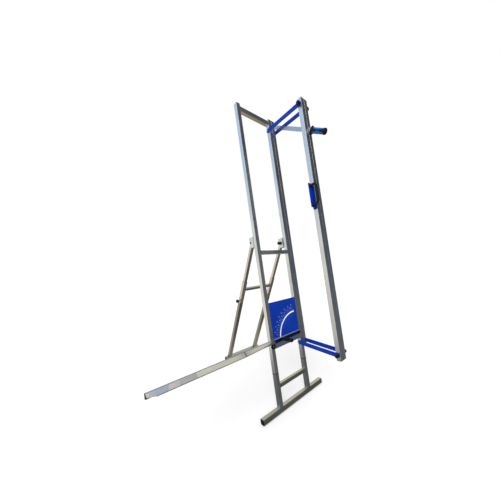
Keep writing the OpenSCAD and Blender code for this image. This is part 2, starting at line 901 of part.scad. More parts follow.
module lower_right_arm() {
    color(blue) arm(far_arm_x, low_pin_s, open_play);
}

module front_left_guide() {
    color(alu) leaned() difference() {
        pinned_tube(right_x, bow_front, bow_s, bow_top, bow_pins, true, pin_play);
        for (place = tab_screws) translate([right_x - over, place[0], place[1]])
            rod_x(screw_r, tube_wall + 2 * over);
    }
}

module front_right_guide() {
    color(alu) leaned() difference() {
        pinned_tube(cheek_x, bow_front, bow_s, bow_top, bow_pins, false, pin_play);
        for (s = front_screw_s) translate([front_screw_x, bow_front - over, s])
            rod_y(screw_r, tube_wall + 2 * over);
    }
}

// Plates that join the two tubes and close both ends of the front slot
module front_end_plates() {
    color(alu) leaned() for (s = [bow_s - end_plate_t, bow_top])
        translate([right_x, bow_front, s]) linear_extrude(end_plate_t)
            round_rect(twin_w, tube_d, tube_r);
}

// A side plate with a tab on the beam, and a flange that faces the user
module handle_bracket() {
    tab_edge = 2;
    tab_half = tube_d / 2 - tab_edge;
    tab_corner = 9;
    color(blue) leaned() difference() {
        union() {
            translate([right_x - handle_sheet, bow_pin_d, 0]) slab_x(handle_sheet)
                translate([-tab_half, handle_s - handle_tab])
                    round_rect(2 * tab_half, handle_h + handle_tab, tab_corner);
            translate([right_x - handle_w, bow_pin_d - handle_sheet / 2, handle_s])
                cube([handle_w - handle_sheet / 2, handle_sheet, handle_h]);
        }
        for (place = tab_screws) translate([right_x - handle_sheet - over, place[0], place[1]])
            rod_x(screw_r, handle_sheet + 2 * over);
    }
}

// A D-shaped grip in front of the flange
module pull_handle() {
    foot_x = right_x - handle_w / 2 - handle_sheet / 2;
    half = handle_span / 2;
    leg = handle_reach - handle_bend;
    foot_t = 5;
    foot_edge = 2;
    color(black) leaned()
        translate([foot_x, bow_pin_d - handle_sheet / 2, handle_s + handle_h / 2]) {
            translate([0, -handle_reach, handle_bend - half])
                cylinder(r = handle_r, h = handle_span - 2 * handle_bend);
            for (end = [0, 1]) mirror([0, 0, end]) {
                translate([0, -leg, half]) rod_y(handle_r, leg);
                translate([0, -foot_t, half]) rod_y(handle_r + foot_edge, foot_t);
                translate([0, -leg, half - handle_bend]) rotate([0, -90, 0]) rotate([0, 0, -90])
                    rotate_extrude(angle = 90) translate([handle_bend, 0]) circle(handle_r);
            }
        }
}

module guide_screws() {
    color(steel) leaned() {
        for (s = front_screw_s) translate([front_screw_x, bow_front, s]) {
            rod_y(screw_r, tube_wall + screw_out);
            translate([0, -screw_head_t, 0]) rod_y(screw_head_r, screw_head_t);
        }
        for (place = tab_screws) translate([right_x - handle_sheet, place[0], place[1]]) {
            rod_x(screw_r, handle_sheet + tube_wall + screw_out);
            translate([-screw_head_t, 0, 0]) rod_x(screw_head_r, screw_head_t);
        }
    }
}

module upper_left_knob() {
    bow_knob(bow_pins[1], -1);
}

module upper_right_knob() {
    bow_knob(bow_pins[1], 1);
}

module lower_left_knob() {
    bow_knob(bow_pins[0], -1);
}

module lower_right_knob() {
    bow_knob(bow_pins[0], 1);
}

// Saw

// The outline runs along the back, round the tip and back along the teeth
module saw_blade() {
    half = blade_h / 2;
    tip_drop = blade_h * 0.55;
    tang_half = half - tang_step;
    tang_end = blade_root - tang_len;
    tooth_line = [for (i = [tooth_count : -1 : 1])
        each [[i * tooth_pitch, tooth_h - half], [(i - 0.5) * tooth_pitch, -half]]];
    color(steel) sawing() translate([-blade_t / 2, 0, 0]) slab_x(blade_t) polygon(concat(
        [[tang_end, tang_half], [blade_root, tang_half], [guard_y, half], [blade_len - tip_len, half],
        [blade_len, half - tip_drop]], tooth_line,
        [[0, tooth_h - half], [blade_root, -tang_half], [tang_end, -tang_half]]));
}

// Core of the handle with the guard, slotted for the blade's tang
module saw_handle() {
    play = 0.02;
    color(blue) sawing() difference() {
        union() {
            translate([-saw_handle_t / 2, butt, -saw_handle_h / 2]) slab_x(saw_handle_t)
                round_rect(saw_handle_len + guard_t, saw_handle_h, saw_handle_h * 0.42);
            translate([-saw_handle_t / 2, blade_root, -guard_h / 2]) slab_x(saw_handle_t)
                round_rect(guard_t, guard_h, guard_t * 0.45);
        }
        translate([-blade_t / 2 - play, blade_root - tang_len - play, -blade_h / 2 - play])
            cube([blade_t + 2 * play, tang_len + guard_t + over, blade_h + 2 * play]);
    }
}

// Rubber cheeks on both sides of the handle
module saw_grips() {
    edge = 5;
    grip_h = saw_handle_h - 2 * edge;
    color(black) sawing() for (side = [-1, 1])
        translate([side * (saw_handle_t + saw_grip_t) / 2 - saw_grip_t / 2, butt + edge, -grip_h / 2])
            slab_x(saw_grip_t) round_rect(saw_handle_len - 2 * edge, grip_h, saw_handle_h * 0.34);
}

left_upright();
right_upright();
guide_cheek();
top_crossbar();
middle_rung();
lower_beam();
upright_end_plates();
cheek_spacer();
protractor_plate();
plate_clips();
plate_screws();
rail_bumper();
bumper_screw();
rail_pivot_bolt();
prop_brackets();
left_hinge_knob();
right_hinge_knob();
bow_pivot_bolts();
left_stand_leg();
right_stand_leg();
stand_rung();
front_foot_bar();
front_foot_plugs();
left_prop_leg();
right_prop_leg();
left_prop_sleeve();
right_prop_sleeve();
prop_rung_tube();
left_prop_knob();
right_prop_knob();
left_foot_leg();
right_foot_leg();
rear_foot_bar();
rear_foot_plugs();
rail_bar();
inner_ledge();
outer_ledge();
ledge_joint_strip();
ruler_strip();
rail_end_cap();
clamp_slider();
clamp_grip();
clamp_stud();
upper_left_arm();
upper_right_arm();
lower_left_arm();
lower_right_arm();
front_left_guide();
front_right_guide();
front_end_plates();
handle_bracket();
pull_handle();
guide_screws();
upper_left_knob();
upper_right_knob();
lower_left_knob();
lower_right_knob();
saw_blade();
saw_handle();
saw_grips();
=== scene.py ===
# %% [markdown]
# # A cutting stand for insulation boards
#
# The stand is a leaning ladder of aluminium tubes. A hand saw runs in the slots of two twin beams, the rear
# one fixed and the front one carried on four blue arms. A board rail tilts on a blue protractor plate.
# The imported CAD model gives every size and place. This lesson dresses it: it gives the tubes their finishes,
# and swaps the plain knobs, plugs, grips and screws for pieces with the detail of the real ones.

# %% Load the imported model
import json
import math
import bpy
from mathutils import Matrix, Vector


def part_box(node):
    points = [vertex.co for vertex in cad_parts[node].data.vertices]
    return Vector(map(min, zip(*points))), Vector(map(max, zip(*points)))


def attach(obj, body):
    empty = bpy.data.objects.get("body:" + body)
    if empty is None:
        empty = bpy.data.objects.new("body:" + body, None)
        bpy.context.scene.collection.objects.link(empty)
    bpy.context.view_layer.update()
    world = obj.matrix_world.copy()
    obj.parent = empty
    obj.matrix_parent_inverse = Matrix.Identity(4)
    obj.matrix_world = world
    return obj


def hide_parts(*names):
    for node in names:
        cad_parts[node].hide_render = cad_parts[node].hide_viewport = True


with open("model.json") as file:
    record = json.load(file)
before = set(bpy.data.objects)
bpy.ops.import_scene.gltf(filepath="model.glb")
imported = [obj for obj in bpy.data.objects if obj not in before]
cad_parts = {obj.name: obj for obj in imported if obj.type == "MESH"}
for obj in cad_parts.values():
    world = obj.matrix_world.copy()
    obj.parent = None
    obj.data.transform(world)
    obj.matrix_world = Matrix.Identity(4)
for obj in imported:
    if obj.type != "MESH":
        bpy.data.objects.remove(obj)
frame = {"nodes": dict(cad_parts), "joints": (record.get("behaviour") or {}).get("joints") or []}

nodes = frame["nodes"]
joints = {joint["name"]: joint for joint in frame["joints"]}
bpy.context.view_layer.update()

# %% [markdown]
# ## The leaned frame
#
# Most pieces sit square to the uprights, which lean away from the user. It is easiest to model such a piece
# upright, with x to the right, y away from the user and z along the uprights, and to lean it at the end.
# The lean comes from the saw's slide, whose axis runs along the uprights, and the place of the lean's
# origin from a pivot whose leaned place is known.

# %% Places that come from the joints
slide_axis = Vector(joints["saw_slide"]["axis"])
lean = math.atan2(slide_axis.y, slide_axis.z)
lean_turn = Matrix.Rotation(-lean, 4, "X")
slot_x = 0.3195
half_depth = 0.0175  # of the 30 by 35 mm tubes
lower_pivot = Vector((slot_x, half_depth, 0.3965))
lean_origin = Vector(joints["lower_arm_swing"]["pos_m"]) - lean_turn @ lower_pivot
leaned = Matrix.Translation(lean_origin) @ lean_turn

leg_axis = Vector(joints["prop_extend"]["axis"])
prop_lean = math.atan2(leg_axis.y, -leg_axis.z)
print("lean", round(math.degrees(lean), 2), "prop lean", round(math.degrees(prop_lean), 2))

# %% [markdown]
# ## Camera
#
# The photograph was taken from close by with a very wide lens, so the far end of the rail looks small and the
# uprights converge. The camera stands at chest height in front of the left end of the rail. Its lens,
# its turn and the small shift of the image come from a fit to the photograph's main edges. Its axes are built
# from three turns: the heading, the downward tilt and a slight roll.

# %% Camera
image_px = 500
focal_px = 197.96
centre_px = (286.90, 271.68)
heading, tilt, roll = 0.7629, -0.1939, 0.0612

ahead = Vector((math.sin(heading) * math.cos(tilt), math.cos(heading) * math.cos(tilt), math.sin(tilt)))
level = Vector((math.cos(heading), -math.sin(heading), 0.0))
upward = level.cross(ahead)
right = math.cos(roll) * level + math.sin(roll) * upward
up = -math.sin(roll) * level + math.cos(roll) * upward

bpy.ops.object.select_all(action="DESELECT")
bpy.ops.object.camera_add(location=(-0.6771, -1.0902, 1.2317))
camera = bpy.context.object
camera.name = "photo_camera"
camera.rotation_euler = Matrix((right, up, -ahead)).transposed().to_euler()
camera.data.sensor_width = 36.0
camera.data.lens = 36.0 * focal_px / image_px
camera.data.shift_x = (image_px / 2 - centre_px[0]) / image_px
camera.data.shift_y = (centre_px[1] - image_px / 2) / image_px
camera.data.clip_start = 0.02
camera.data.dof.use_dof = False
bpy.context.scene.camera = camera
print("lens", round(camera.data.lens, 2), "mm")

# %% [markdown]
# ## Colours and nodes
#
# Colours are written as the hex values one would pick from a picture, and one function turns them into the
# linear values that shaders want. One more small function adds a node, sets it and links it, so each
# material below reads as a list of what it is made of. A third starts a material and hands over its parts.
# Scales of noise are written as 1000 over a size in millimetres, because Object coordinates are in metres.

# %% Three helpers for materials
def lin(code):
    channels = [int(code[i:i + 2], 16) / 255 for i in (1, 3, 5)]
    return tuple(c / 12.92 if c <= 0.04045 else ((c + 0.055) / 1.055) ** 2.4 for c in channels) + (1.0,)


def add(tree, kind, inputs=None, to=None, output=None, stops=(), **settings):
    made = tree.nodes.new(kind)
    for name, value in settings.items():
        setattr(made, name, value)
    sockets = [socket for socket in made.inputs if socket.enabled]
    for name, value in (inputs or {}).items():
        socket = sockets[name] if isinstance(name, int) else next(s for s in sockets if s.name == name)
        if isinstance(value, bpy.types.NodeSocket):
            tree.links.new(value, socket)
        else:
            socket.default_value = value
    for number, (place, colour) in enumerate(stops):
        marks = made.color_ramp.elements
        mark = marks[number] if number < len(marks) else marks.new(place)
        mark.position, mark.color = place, lin(colour)
    result = made.outputs[output] if output else next(s for s in made.outputs if s.enabled)
    if to is not None:
        tree.links.new(result, to)
    return result


def new_material(name):
    material = bpy.data.materials.new(name)
    material.use_nodes = True
    tree = material.node_tree
    return material, tree, tree.nodes["Principled BSDF"].inputs, add(tree, "ShaderNodeTexCoord", output="Object")


# %% [markdown]
# ## Satin aluminium
#
# The tubes are extruded aluminium with a light satin anodising. Extrusion leaves fine lines along the tube,
# and handling leaves soft smudges. Both show as small changes of gloss. The real lines are a few tenths of a
# millimetre apart, too fine for this view, so they are drawn 3 mm apart and 400 mm long. The Mapping
# node is turned so that its z runs along the tube, so there is one copy of the material for each direction. The
# copies for the plug-in stand, the foot bars and the sliding legs are darker: painted shade near the floor. The
# strip in the ledge's joint gets the same darker copy as the sliding legs.

# %% Satin aluminium, one copy for each direction of tube
def satin_aluminium(name, turn, dark="#C6C9CC", light="#E5E7E9"):
    material, tree, shader, place = new_material(name)
    along = add(tree, "ShaderNodeMapping", {"Vector": place, "Rotation": turn, "Scale": (0.003, 0.003, 0.4)},
                vector_type="TEXTURE")
    lines = add(tree, "ShaderNodeTexNoise", {"Vector": along, "Scale": 1.0, "Detail": 3.0})
    smudge = add(tree, "ShaderNodeTexNoise", {"Vector": place, "Scale": 1000 / 110, "Detail": 5.0, "Roughness": 0.6})
    both = add(tree, "ShaderNodeMix", {"Factor": 0.45, "A": lines, "B": smudge})
    add(tree, "ShaderNodeValToRGB", {"Fac": both}, to=shader["Base Color"], stops=[(0.3, dark), (0.7, light)])
    add(tree, "ShaderNodeMapRange", {"Value": both, "From Min": 0.3, "From Max": 0.7, "To Min": 0.30, "To Max": 0.44},
        to=shader["Roughness"])
    add(tree, "ShaderNodeBump", {"Height": lines, "Strength": 0.12, "Distance": 0.0003}, to=shader["Normal"])
    shader["Metallic"].default_value = 1.0
    return material


upright_aluminium = satin_aluminium("Satin extruded aluminium, uprights", (-lean, 0, 0))
cross_aluminium = satin_aluminium("Satin extruded aluminium, cross tubes", (0, math.pi / 2, 0))
# The prop legs' and the ledges' copies are tinted warm: a painted reflection of cream surroundings
prop_aluminium = satin_aluminium("Satin extruded aluminium, prop legs", (prop_lean, 0, 0), "#BDB7AC", "#E2DBCE")
ledge_aluminium = satin_aluminium("Satin extruded aluminium, ledges", (0, math.pi / 2, 0), "#BDBBB2", "#D9D7CE")
# Darker copies for the parts near the floor: painted shade
stand_aluminium_painted_shade = satin_aluminium("Extruded aluminium with painted shade, stand legs", (-lean, 0, 0), "#B2B6B9", "#D4D7D9")
foot_aluminium_painted_shade = satin_aluminium("Extruded aluminium with painted shade, foot bars", (0, math.pi / 2, 0), "#A3A297", "#C6C4B8")
inner_aluminium_painted_shade = satin_aluminium("Extruded aluminium with painted shade, sliding legs", (prop_lean, 0, 0), "#787671", "#A09E97")
# Near-black copy for the rail bar: painted shade on its front
rail_bar_painted_shade = satin_aluminium("Aluminium darkened as painted shade", (0, math.pi / 2, 0), "#3A3D42", "#50545A")
print("aluminium in eight versions")

# %% [markdown]
# ## Blue powder coat
#
# The arms, the protractor plate and the handle's bracket are sheet metal with a smooth blue powder
# coat. Powder melts into a skin with a faint orange peel about a millimetre across. Use leaves a few paler
# scuffs, which are drawn where a noise passes a high limit.

# %% Blue powder coat
blue_coat, tree, shader, place = new_material("Blue powder coat on sheet metal")
cloud = add(tree, "ShaderNodeTexNoise", {"Vector": place, "Scale": 1000 / 140, "Detail": 4.0})
scuff = add(tree, "ShaderNodeTexNoise", {"Vector": place, "Scale": 1000 / 16, "Detail": 6.0, "Roughness": 0.75})
colour = add(tree, "ShaderNodeValToRGB", {"Fac": cloud}, stops=[(0.3, "#0033A4"), (0.7, "#0041C2")])
worn = add(tree, "ShaderNodeMapRange", {"Value": scuff, "From Min": 0.68, "From Max": 0.80})
add(tree, "ShaderNodeMix", {"Factor": worn, "A": colour, "B": lin("#5F83DA")}, to=shader["Base Color"],
    data_type="RGBA")
add(tree, "ShaderNodeMapRange", {"Value": cloud, "To Min": 0.34, "To Max": 0.50}, to=shader["Roughness"])
shader["Specular IOR Level"].default_value = 0.15
peel = add(tree, "ShaderNodeTexNoise", {"Vector": place, "Scale": 1000 / 1.4, "Detail": 1.0})
add(tree, "ShaderNodeBump", {"Height": peel, "Strength": 0.10, "Distance": 0.0004}, to=shader["Normal"])
print(blue_coat.name)

# %% [markdown]
# ## Steel, plastic and rubber
#
# Small fasteners are zinc-plated, bright and a little milky, or black-oxide, dark and oily. The blade is ground
# across its width, so its lines run across it. Knobs, plugs and the pull handle are black moulded plastic with
# an eroded grain, the saw's handle is blue moulded plastic, and the soft parts are rubber, which is rougher.

# %% Zinc-plated and blackened steel
def fastener_steel(name, dark, light):
    material, tree, shader, place = new_material(name)
    bloom = add(tree, "ShaderNodeTexNoise", {"Vector": place, "Scale": 1000 / 6, "Detail": 4.0})
    add(tree, "ShaderNodeValToRGB", {"Fac": bloom}, to=shader["Base Color"], stops=[(0.35, dark), (0.65, light)])
    add(tree, "ShaderNodeMapRange", {"Value": bloom, "To Min": 0.22, "To Max": 0.42}, to=shader["Roughness"])
    shader["Metallic"].default_value = 1.0
    return material


zinc_steel = fastener_steel("Zinc-plated steel", "#9DA1A6", "#C4C8CC")
black_steel = fastener_steel("Black-oxide steel", "#26272A", "#3B3D41")
print(zinc_steel.name, "and", black_steel.name)

# %% Ground saw steel
# The grinding lines are drawn 1.5 mm apart, about ten times coarser than real ones, so that they show
saw_tilt = math.radians(36.3)
saw_steel, tree, shader, place = new_material("Ground saw steel")
across = add(tree, "ShaderNodeMapping", {"Vector": place, "Rotation": (saw_tilt - lean, 0, 0),
                                         "Scale": (0.01, 0.0015, 0.05)}, vector_type="TEXTURE")
grind = add(tree, "ShaderNodeTexNoise", {"Vector": across, "Scale": 1.0, "Detail": 3.0})
add(tree, "ShaderNodeValToRGB", {"Fac": grind}, to=shader["Base Color"], stops=[(0.3, "#9A9EA3"), (0.7, "#D0D3D6")])
add(tree, "ShaderNodeMapRange", {"Value": grind, "To Min": 0.18, "To Max": 0.36}, to=shader["Roughness"])
shader["Metallic"].default_value = 1.0
print(saw_steel.name)


# %% Moulded plastics and rubber
def moulded(name, dark, light, rough, grain_mm, relief_mm):
    material, tree, shader, place = new_material(name)
    haze = add(tree, "ShaderNodeTexNoise", {"Vector": place, "Scale": 1000 / 28, "Detail": 4.0})
    add(tree, "ShaderNodeValToRGB", {"Fac": haze}, to=shader["Base Color"], stops=[(0.3, dark), (0.7, light)])
    add(tree, "ShaderNodeMapRange", {"Value": haze, "To Min": rough - 0.08, "To Max": rough + 0.08},
        to=shader["Roughness"])
    grain = add(tree, "ShaderNodeTexNoise", {"Vector": place, "Scale": 1000 / grain_mm, "Detail": 2.0})
    add(tree, "ShaderNodeBump", {"Height": grain, "Strength": 0.25, "Distance": relief_mm / 1000}, to=shader["Normal"])
    shader["Specular IOR Level"].default_value = 0.3
    return material


black_plastic = moulded("Black moulded polyamide", "#09090B", "#131316", 0.46, 1.2, 0.15)
blue_plastic = moulded("Blue moulded polypropylene", "#1462BA", "#2074CC", 0.40, 1.5, 0.10)
black_rubber = moulded("Black rubber", "#0A0A0B", "#141517", 0.72, 0.9, 0.25)
# Lilac for the rail's top strip: a painted reflection
lilac_painted_reflection = moulded("Lilac-blue painted reflection", "#8390C6", "#98A3D3", 0.42, 2.0, 0.05)
print("plastics and rubber")

# %% [markdown]
# ## Printed marks
#
# The dial's numbers and lines are white ink, slightly uneven. The ruler is a lilac-grey tape with dark lines
# every 10 mm, longer ones every 50 mm. Its pattern reads the x of the Object coordinates, so it needs no image:
# the fraction of x over the spacing is near zero at each line.

# %% White ink
def screen_ink(name, thin, full):
    material, tree, shader, place = new_material(name)
    patchy = add(tree, "ShaderNodeTexNoise", {"Vector": place, "Scale": 1000 / 4, "Detail": 3.0})
    add(tree, "ShaderNodeValToRGB", {"Fac": patchy}, to=shader["Base Color"], stops=[(0.3, thin), (0.6, full)])
    shader["Roughness"].default_value = 0.6
    return material


white_ink = screen_ink("White screen-printed ink", "#7C98DC", "#A8BCEA")
pale_ink = screen_ink("Pale blue screen-printed ink", "#2A4CB8", "#5673CC")
print(white_ink.name, "and", pale_ink.name)

# %% Ruler tape
ruler_tape, tree, shader, place = new_material("Printed measuring tape")
along_rail = add(tree, "ShaderNodeSeparateXYZ", {"Vector": place})
near_line = []
for spacing, width in ((0.010, 0.0012), (0.050, 0.0030)):
    steps = add(tree, "ShaderNodeMath", {0: along_rail, 1: 1 / spacing}, operation="MULTIPLY")
    part = add(tree, "ShaderNodeMath", {0: steps}, operation="FRACT")
    near_line.append(add(tree, "ShaderNodeMath", {0: part, 1: width / spacing}, operation="LESS_THAN"))
line = add(tree, "ShaderNodeMath", {0: near_line[0], 1: near_line[1]}, operation="MAXIMUM")
add(tree, "ShaderNodeMix", {"Factor": line, "A": lin("#9096B2"), "B": lin("#44465A")}, to=shader["Base Color"],
    data_type="RGBA")
shader["Roughness"].default_value = 0.5
print(ruler_tape.name)


# %% [markdown]
# ## Finishes on the CAD nodes
#
# The tubes, plates, arms and the blade already have their real shape, so they stay and only get a finish.

# %% Put the finishes on the nodes that stay
def finish(material, *names):
    for name in names:
        nodes[name].data.materials.clear()
        nodes[name].data.materials.append(material)
    print(material.name, "on", len(names), "nodes")


finish(upright_aluminium, "left_upright", "right_upright", "guide_cheek", "upright_end_plates", "cheek_spacer",
       "front_left_guide", "front_right_guide", "front_end_plates", "plate_clips", "prop_brackets")
finish(cross_aluminium, "top_crossbar", "middle_rung", "lower_beam")
# Warm tint on the prop legs: painted reflection
finish(prop_aluminium, "left_prop_leg", "right_prop_leg", "left_prop_sleeve", "right_prop_sleeve")
# Darker copies on the parts near the floor: painted shade
finish(stand_aluminium_painted_shade, "left_stand_leg", "right_stand_leg")
finish(foot_aluminium_painted_shade, "stand_rung", "front_foot_bar", "rear_foot_bar", "prop_rung_tube")
finish(inner_aluminium_painted_shade, "left_foot_leg", "right_foot_leg", "ledge_joint_strip")
# Warm tint on the ledges: painted reflection
finish(ledge_aluminium, "inner_ledge", "outer_ledge")
# Rail bar near black: painted shade
finish(rail_bar_painted_shade, "rail_bar")
finish(blue_coat, "protractor_plate", "upper_left_arm", "upper_right_arm", "lower_left_arm", "lower_right_arm",
       "handle_bracket")
finish(zinc_steel, "bow_pivot_bolts", "clamp_slider", "clamp_stud")
finish(saw_steel, "saw_blade")
finish(black_plastic, "rail_end_cap")
finish(ruler_tape, "ruler_strip")


# %% [markdown]
# ## Helpers for modelling
#
# Operators act on all that is selected, so every piece starts with nothing selected. Faces are picked in code by
# their middle and normal. A turned piece starts as a filled circle that is extruded ring by ring, each ring resized,
# which is how one would make a knob or a grip by hand. At the end a piece gets its place, which is then
# applied, so that its object sits at the origin like the CAD nodes.

# %% Modelling helpers
def start_clean():
    if bpy.context.mode != "OBJECT":
        bpy.ops.object.mode_set(mode="OBJECT")
    bpy.ops.object.select_all(action="DESELECT")


def edit(piece):
    start_clean()
    piece.select_set(True)
    bpy.context.view_layer.objects.active = piece
    bpy.ops.object.mode_set(mode="EDIT")
    bpy.context.tool_settings.mesh_select_mode = (False, False, True)
    bpy.ops.mesh.select_all(action="DESELECT")


def pick_faces(piece, wanted):
    edit(piece)
    bpy.ops.object.mode_set(mode="OBJECT")
    for face in piece.data.polygons:
        face.select = bool(wanted(face.center, face.normal))
    bpy.ops.object.mode_set(mode="EDIT")


def loft(name, rings, sides=32):
    # Each ring is (z, half width in x, half width in y)
    start_clean()
    bpy.ops.mesh.primitive_circle_add(vertices=sides, radius=1.0, fill_type="NGON", location=(0, 0, 0))
    piece = bpy.context.object
    piece.name = name
    edit(piece)
    bpy.ops.mesh.select_all(action="SELECT")
    bpy.ops.transform.resize(value=(rings[0][1], rings[0][2], 1))
    bpy.ops.transform.translate(value=(0, 0, rings[0][0]))
    for (z0, x0, y0), (z1, x1, y1) in zip(rings, rings[1:]):
        bpy.ops.mesh.extrude_region_move(TRANSFORM_OT_translate={"value": (0, 0, z1 - z0)})
        bpy.ops.transform.resize(value=(x1 / x0, y1 / y0, 1))
    close_up(piece)
    return piece


def turned(name, rings, sides=32):
    return loft(name, [(z, r, r) for z, r in rings], sides)


def close_up(piece):
    edit(piece)
    bpy.ops.mesh.select_all(action="SELECT")
    bpy.ops.mesh.remove_doubles(threshold=1e-6)
    bpy.ops.mesh.normals_make_consistent(inside=False)
    bpy.ops.object.mode_set(mode="OBJECT")


def soften(piece, width, segments=2, angle=35):
    start_clean()
    piece.select_set(True)
    bpy.context.view_layer.objects.active = piece
    rounding = piece.modifiers.new("rounding", "BEVEL")
    rounding.width = width
    rounding.segments = segments
    rounding.limit_method = "ANGLE"
    rounding.angle_limit = math.radians(angle)
    bpy.ops.object.modifier_apply(modifier="rounding")
    bpy.ops.object.shade_smooth_by_angle(angle=math.radians(40))


def settle(piece, place, body, material, slot, *stands_for):
    start_clean()
    piece.select_set(True)
    bpy.context.view_layer.objects.active = piece
    piece.matrix_world = place
    bpy.ops.object.transform_apply(location=True, rotation=True, scale=True)
    piece.data.materials.clear()
    piece.data.materials.append(material)
    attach(piece, body)
    if stands_for:
        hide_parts(*stands_for)
    print(piece.name, "rides", body, "with", len(piece.data.polygons), "faces")


def copy_of(piece, name):
    start_clean()
    piece.select_set(True)
    bpy.context.view_layer.objects.active = piece
    bpy.ops.object.duplicate(linked=False)
    twin = bpy.context.object
    twin.name = name
    return twin


# %% [markdown]
# ## Star knobs
#
# Eight black knobs clamp the bow, the prop's hinges and its sliding legs. The real ones have six lobes for the
# fingers and a stud of steel. Pulling in every other corner of a 12-sided disc gives the lobes, and
# rounding its corners softens them. The disc is then extruded to a neck, a head and a domed top. The
# pattern knob is copied for each place, and each copy grows a stud of the length its place needs.

# %% One pattern knob
start_clean()
bpy.ops.mesh.primitive_circle_add(vertices=12, radius=0.0149, fill_type="NGON", location=(0, 0, 0))
knob = bpy.context.object
knob.name = "knob_pattern"
edit(knob)
bpy.ops.object.mode_set(mode="OBJECT")
bpy.context.tool_settings.mesh_select_mode = (True, False, False)
for edge in knob.data.edges:
    edge.select = False
for face in knob.data.polygons:
    face.select = False
for vertex in knob.data.vertices:
    vertex.select = vertex.index % 2 == 1
bpy.ops.object.mode_set(mode="EDIT")
bpy.ops.transform.resize(value=(0.80, 0.80, 1), center_override=(0, 0, 0))
bpy.ops.mesh.select_all(action="SELECT")
bpy.ops.mesh.bevel(affect="VERTICES", offset=0.0030, segments=4)
bpy.ops.mesh.select_all(action="SELECT")
bpy.ops.transform.resize(value=(0.66, 0.66, 1))
for rise, scale in ((0.0022, 1.0), (0.0020, 1 / 0.66), (0.0122, 1.0), (0.0020, 0.89), (0.0006, 0.72)):
    bpy.ops.mesh.extrude_region_move(TRANSFORM_OT_translate={"value": (0, 0, rise)})
    bpy.ops.transform.resize(value=(scale, scale, 1))
close_up(knob)
soften(knob, 0.0007)
print("pattern knob:", len(knob.data.polygons), "faces")

# %% Place the knobs
# For each knob: how far its foot is from the joint's point, and how long its stud is
knob_fits = {"upper_left": (0.006, 0.016), "upper_right": (0.006, 0.016), "lower_left": (0.006, 0.016),
             "lower_right": (0.006, 0.016), "left_hinge": (0.0175, 0.035), "right_hinge": (0.0175, 0.035),
             "left_prop": (0.0005, 0.0102)}
knob_fits["right_prop"] = knob_fits["left_prop"]
for where, (reach, stud) in knob_fits.items():
    joint = joints[where + "_knob_turn"]
    outward = Vector(joint["axis"])
    piece = copy_of(knob, "star_knob_" + where)
    pick_faces(piece, lambda middle, normal: normal.z < -0.9 and middle.z < 0.0005)
    bpy.ops.mesh.inset(thickness=0.0050)
    bpy.ops.mesh.extrude_region_move(TRANSFORM_OT_translate={"value": (0, 0, -stud)})
    bpy.ops.object.mode_set(mode="OBJECT")
    side = Matrix.Rotation(math.copysign(math.pi / 2, outward.x), 4, "Y")
    spot = Matrix.Translation(Vector(joint["pos_m"]) + reach * outward)
    settle(piece, spot @ side, joint["child"], black_plastic, "black_plastic", where + "_knob")
bpy.data.objects.remove(knob)

# %% [markdown]
# ## Tube plugs
#
# Both foot bars end in black push-in plugs. A plug has a square head with soft edges and a shallow square dish,
# and a body that sits in the tube. A cube gets the head's size, the outer face is inset and pushed in for the dish,
# and the inner face is inset by the tube's wall and pulled out for the body.

# %% Plugs of the foot bars
def tube_plug(name, side):
    start_clean()
    bpy.ops.mesh.primitive_cube_add(size=1.0, location=(0, 0, 0))
    plug = bpy.context.object
    plug.name = name
    edit(plug)
    bpy.ops.mesh.select_all(action="SELECT")
    bpy.ops.transform.resize(value=(0.003, side, side))
    bpy.ops.transform.translate(value=(-0.0015, 0, 0))
    pick_faces(plug, lambda middle, normal: normal.x < -0.9)
    bpy.ops.mesh.inset(thickness=side * 0.16)
    bpy.ops.mesh.extrude_region_move(TRANSFORM_OT_translate={"value": (0.0012, 0, 0)})
    bpy.ops.mesh.inset(thickness=0.0012)
    pick_faces(plug, lambda middle, normal: normal.x > 0.9 and middle.x > -0.0005)
    bpy.ops.mesh.inset(thickness=0.002)
    bpy.ops.mesh.extrude_region_move(TRANSFORM_OT_translate={"value": (0.014, 0, 0)})
    close_up(plug)
    soften(plug, 0.0006)
    return plug


foot_mid, foot_half = 0.159, 0.300
low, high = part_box("rear_foot_bar")
middle = (low + high) / 2
for name, end in (("left", -1), ("right", 1)):
    flip = Matrix.Rotation(0 if end < 0 else math.pi, 4, "Z")
    front = leaned @ Matrix.Translation((foot_mid + end * foot_half, half_depth, half_depth))
    settle(tube_plug("front_foot_plug_" + name, 2 * half_depth), front @ flip, "stand", black_plastic, "black_plastic",
           "front_foot_plugs")
    rear = Matrix.Translation((low.x if end < 0 else high.x, middle.y, middle.z)) @ Matrix.Rotation(prop_lean, 4, "X")
    settle(tube_plug("rear_foot_plug_" + name, 0.030), rear @ flip, "prop_feet", black_plastic, "black_plastic",
           "rear_foot_plugs")

# %% [markdown]
# ## Clamp grip of the rail
#
# The rail is fixed by screwing a long black grip tight. It is turned: a foot, a flare, a slim waist for the
# fingers, a swelling and a rounded end. Finger flutes are pressed in by insetting every other side face of the long
# part and pushing it inwards.

